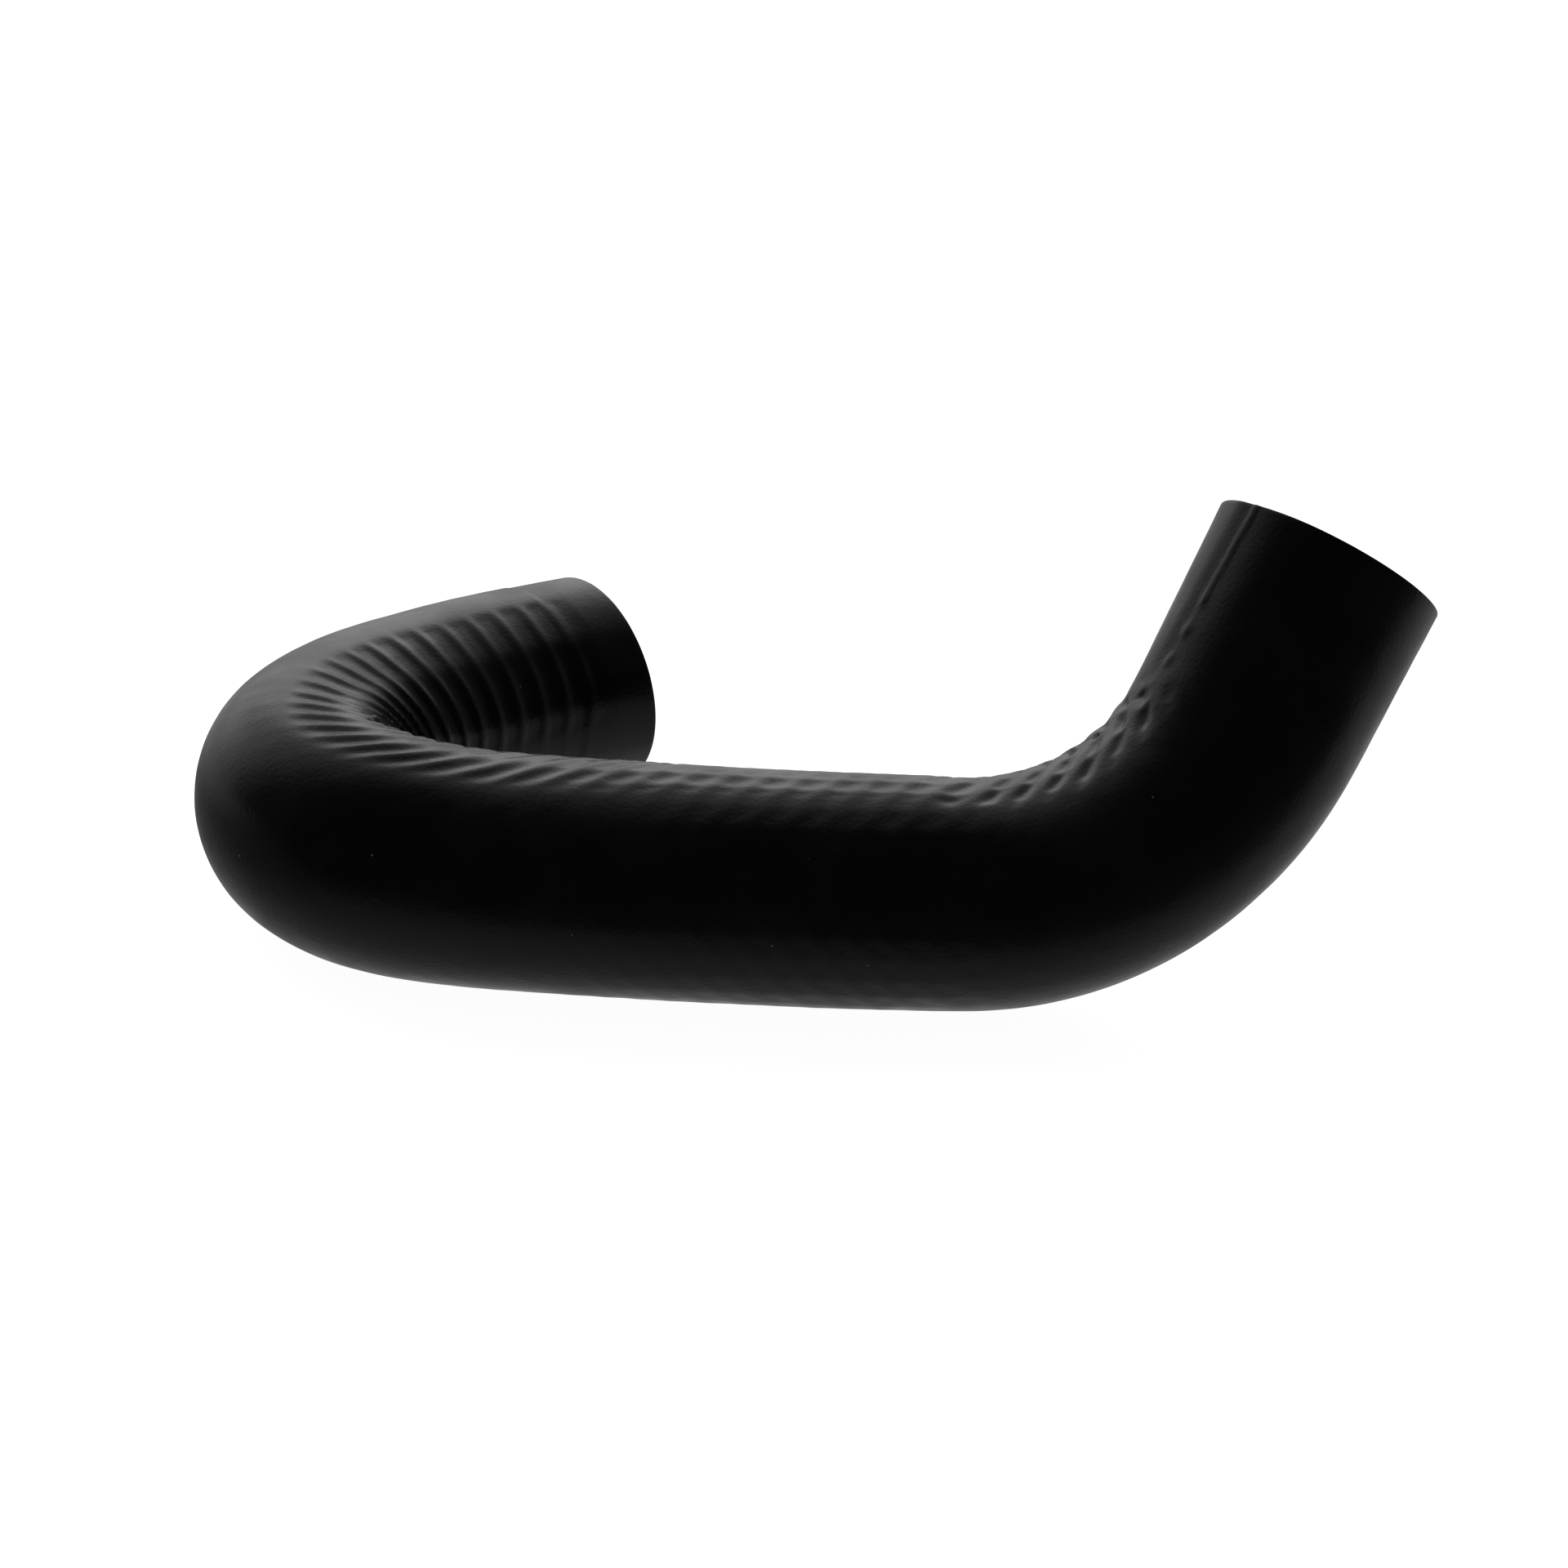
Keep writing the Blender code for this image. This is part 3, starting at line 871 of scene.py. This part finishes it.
# %% Materials
def skin_rubber():
    """The cover: satin, a little greyer where it is handled, with a few specks of dust."""
    material, tree, shader, coordinates, blotches = rubber(
        "skin_rubber", SKIN_ROUGHNESS, SKIN_GRAIN, SKIN_GRAIN_DEPTH
    )
    ridge = tree.nodes.new("ShaderNodeAttribute")
    ridge.attribute_name = "ridge"
    handled = math_node(tree, "MULTIPLY", ridge.outputs["Fac"], blotches)
    worn = mixed_colour(tree, handled, SKIN_BLACK, SKIN_WORN)
    dust = place_group(tree, DUST, coordinates, {"Scale": DUST_SCALE, "Size": DUST_SIZE})
    tree.links.new(mixed_colour(tree, dust, worn, DUST_GREY), shader.inputs["Base Color"])
    return material


def dull_rubber(name, roughness_range, grain_scale, grain_depth):
    """Uncovered rubber, from skin black to a dustier black in blotches."""
    material, tree, shader, coordinates, blotches = rubber(name, roughness_range, grain_scale, grain_depth)
    tree.links.new(mixed_colour(tree, blotches, SKIN_BLACK, CUT_BLACK), shader.inputs["Base Color"])
    return material


def cut_rubber():
    """The knife-cut ring of a mouth: duller and coarser than the skin."""
    return dull_rubber("cut_rubber", CUT_ROUGHNESS, CUT_GRAIN, CUT_GRAIN_DEPTH)


def bore_rubber():
    """The bore, smooth from the mandrel and dulled by its release agent."""
    return dull_rubber("bore_rubber", BORE_ROUGHNESS, BORE_GRAIN, BORE_GRAIN_DEPTH)


# %% Give each face its finish
FACE_MARGIN = 0.02            # share of the wall within which a face counts as skin or bore
SKIN_SLOT, CUT_SLOT, BORE_SLOT = 0, 1, 2


def assign_materials():
    """Skin, mouth rings and bore, told apart by where a face lies in the wall."""
    for material in (skin_rubber(), cut_rubber(), bore_rubber()):
        hose.data.materials.append(material)
    inner = np.where(face_wall >= 1 - FACE_MARGIN, BORE_SLOT, CUT_SLOT)
    slots = np.where(face_wall <= FACE_MARGIN, SKIN_SLOT, inner).astype(np.int32)
    hose.data.polygons.foreach_set("material_index", slots)
    print("faces on skin, mouths and bore:", np.bincount(slots).tolist())


assign_materials()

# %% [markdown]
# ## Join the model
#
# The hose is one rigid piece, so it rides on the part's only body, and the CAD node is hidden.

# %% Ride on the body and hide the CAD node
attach(hose, "root")
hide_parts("hose")
print("triangles:", sum(len(face.vertices) - 2 for face in hose.data.polygons))

# %% [markdown]
# ## Floor
#
# The hose was photographed on a light table in front of a bright sweep, with the dark room behind the
# camera. That is what draws its black shape: bright rims and a nearly black middle. The floor is white
# to the camera and keeps a faint shadow of the hose. The rubber mirrors a dimmer table, which fades
# out towards the camera and is dim to the left of the hose, apart from far behind it.

# %% Light table
FLOOR_GAP = 0.0002
FLOOR_SIZE = 6.0
FLOOR_COLOUR = (0.86, 0.86, 0.86, 1.0)
FLOOR_ROUGHNESS = 0.9
WHITE_SHARE = 0.50            # of the floor's look to the camera that is light of its own
WHITE_LEVEL = 1.93
TABLE_LEVEL = 0.62            # what the rubber mirrors of the table under and behind it
TABLE_EDGE_LEVEL = 0.10
TABLE_FRONT_FADE = (-0.150, -0.085)      # along Y
TABLE_LEFT_FADE = (-0.180, -0.080)       # along X
TABLE_BEHIND_FADE = (0.030, 0.160)       # along Y
TABLE_DIM_SHARE, TABLE_BEHIND_SHARE = 0.30, 0.95


def floor_material():
    """Pale floor, most of its white set for camera rays so that it doesn't light the hose."""
    material = bpy.data.materials.new("pale_floor")
    material.use_nodes = True
    tree = material.node_tree
    shader = tree.nodes["Principled BSDF"]
    shader.inputs["Base Color"].default_value = FLOOR_COLOUR
    shader.inputs["Roughness"].default_value = FLOOR_ROUGHNESS
    shader.inputs["Specular IOR Level"].default_value = 0.0
    rays = tree.nodes.new("ShaderNodeLightPath")
    place = tree.nodes.new("ShaderNodeSeparateXYZ")
    tree.links.new(tree.nodes.new("ShaderNodeTexCoord").outputs["Object"], place.inputs[0])
    front = range_node(tree, place.outputs["Y"], *TABLE_FRONT_FADE, TABLE_EDGE_LEVEL, TABLE_LEVEL)
    left = range_node(tree, place.outputs["X"], *TABLE_LEFT_FADE, TABLE_DIM_SHARE, 1.0)
    behind = range_node(tree, place.outputs["Y"], *TABLE_BEHIND_FADE, TABLE_DIM_SHARE, TABLE_BEHIND_SHARE)
    table = math_node(tree, "MULTIPLY", front, math_node(tree, "MAXIMUM", left, behind))
    seen = math_node(tree, "MAXIMUM", rays.outputs["Is Camera Ray"], rays.outputs["Is Transmission Ray"])
    white = math_node(tree, "MULTIPLY", seen, WHITE_SHARE)
    share = math_node(tree, "MAXIMUM", white, rays.outputs["Is Glossy Ray"])
    level = math_node(tree, "MAXIMUM", math_node(tree, "MULTIPLY", seen, WHITE_LEVEL), table)
    glow = tree.nodes.new("ShaderNodeEmission")
    tree.links.new(level, glow.inputs["Strength"])
    mix = tree.nodes.new("ShaderNodeMixShader")
    tree.links.new(share, mix.inputs[0])
    tree.links.new(shader.outputs["BSDF"], mix.inputs[1])
    tree.links.new(glow.outputs["Emission"], mix.inputs[2])
    tree.links.new(mix.outputs["Shader"], tree.nodes["Material Output"].inputs["Surface"])
    return material


bpy.ops.object.select_all(action="DESELECT")
bpy.ops.mesh.primitive_plane_add(size=FLOOR_SIZE, location=(0, 0, -FLOOR_GAP))
floor = bpy.context.object
floor.name = "pale_floor"
floor.data.materials.append(floor_material())
print("floor in metres:", [round(side, 2) for side in floor.dimensions])

# %% [markdown]
# ## Surroundings
#
# A backdrop could be a second plane, but the world can do its work: it is white to the camera, and for
# the rubber it is bright round one direction high behind the hose and dim everywhere else. The bright
# part is broad and soft-edged, as a lit sweep is.

# %% World
BACK_DIRECTION = Vector((-0.10, 0.87, 0.48)).normalized()
DARK_LEVEL = 0.06
BRIGHT_LEVEL = 1.25
BRIGHT_WITHIN, DARK_BEYOND = 22, 66      # degrees from BACK_DIRECTION
WHITE = (1, 1, 1, 1)


def studio_world():
    """White to the camera. For the rubber it is bright behind the hose and dim all round."""
    world = bpy.data.worlds.new("studio")
    world.use_nodes = True
    tree = world.node_tree
    direction = tree.nodes.new("ShaderNodeTexCoord").outputs["Generated"]
    facing = tree.nodes.new("ShaderNodeVectorMath")
    facing.operation = "DOT_PRODUCT"
    tree.links.new(direction, facing.inputs[0])
    facing.inputs[1].default_value = BACK_DIRECTION
    edges = [math.cos(math.radians(degrees)) for degrees in (DARK_BEYOND, BRIGHT_WITHIN)]
    level = range_node(tree, facing.outputs["Value"], *edges, DARK_LEVEL, BRIGHT_LEVEL)
    rays = tree.nodes.new("ShaderNodeLightPath")
    seen = math_node(tree, "MAXIMUM", rays.outputs["Is Camera Ray"], rays.outputs["Is Transmission Ray"])
    strength = math_node(tree, "MAXIMUM", level, seen)
    tree.links.new(strength, tree.nodes["Background"].inputs["Strength"])
    tree.nodes["Background"].inputs["Color"].default_value = WHITE
    bpy.context.scene.world = world


studio_world()
print("brightest direction:", [round(part, 2) for part in BACK_DIRECTION])

# %% [markdown]
# Two area lamps finish the light: a wide one high behind the hose, which brings out the ridges on its
# upper side, and a weak one that catches the riser's right side.

# %% Lamps
SOFTBOX_TARGET = Vector((0, 0, 0.04))


def softbox(name, place, size, watts):
    """A rectangular area lamp that faces the hose."""
    lamp = bpy.data.lights.new(name, "AREA")
    lamp.shape = "RECTANGLE"
    lamp.size, lamp.size_y = size
    lamp.energy = watts
    holder = bpy.data.objects.new(name, lamp)
    holder.location = place
    aim = SOFTBOX_TARGET - Vector(place)
    holder.rotation_euler = aim.to_track_quat("-Z", "Y").to_euler()
    bpy.context.scene.collection.objects.link(holder)
    print(name, "is", round(aim.length, 2), "m from the hose")


softbox("back_softbox", place=(-0.10, 1.10, 0.72), size=(1.1, 0.75), watts=3.0)
softbox("right_softbox", place=(1.1, 0.25, 0.40), size=(0.7, 0.7), watts=0.2)

# %% [markdown]
# ## The camera
#
# The photograph looks down at about 24 degrees, from a little to the left of the run, with the camera
# rolled by 6 degrees. The start of the run is a point that is known in the frame and is found in the
# photograph at a certain pixel, so the camera is placed by where that point has to show.

# %% Camera
PHOTO_SIZE = 1920
FOCAL_PIXELS = 4200
SENSOR = 36.0                 # millimetres
HEADING = 9.494
DIP = 23.576
ROLL = 5.640
AIMED_PIXEL = (1140.4, 1093.8)
AIMED_DEPTH = 0.7272
NEAREST_SEEN = 0.01


def photo_camera():
    """Looks along HEADING to the right of +Y, dipped and rolled, with the run's start at its pixel."""
    nearest = min(range(len(path_points)), key=lambda index: abs(path_distances[index] - RUN_START))
    turn = Euler((0, 0, math.radians(-HEADING))).to_matrix()
    tip = Euler((math.radians(90 - DIP), 0, 0)).to_matrix()
    roll = Euler((0, 0, math.radians(ROLL))).to_matrix()
    axes = turn @ tip @ roll
    middle = PHOTO_SIZE / 2
    right = (AIMED_PIXEL[0] - middle) / FOCAL_PIXELS * AIMED_DEPTH
    up = (middle - AIMED_PIXEL[1]) / FOCAL_PIXELS * AIMED_DEPTH
    place = mouth_middle + path_points[nearest] - axes @ Vector((right, up, -AIMED_DEPTH))
    lens = bpy.data.cameras.new("photo_camera")
    lens.sensor_width = SENSOR
    lens.lens = SENSOR * FOCAL_PIXELS / PHOTO_SIZE
    lens.clip_start = NEAREST_SEEN
    camera = bpy.data.objects.new("photo_camera", lens)
    camera.matrix_world = Matrix.Translation(place) @ axes.to_4x4()
    bpy.context.scene.collection.objects.link(camera)
    bpy.context.scene.camera = camera
    print("camera at", [round(value, 4) for value in place])


photo_camera()

# %% [markdown]
# The Standard view shows each colour about as it is written, with no film curve over it.

# %% Colour
view = bpy.context.scene.view_settings
view.view_transform = "Standard"
print("view transform:", view.view_transform)
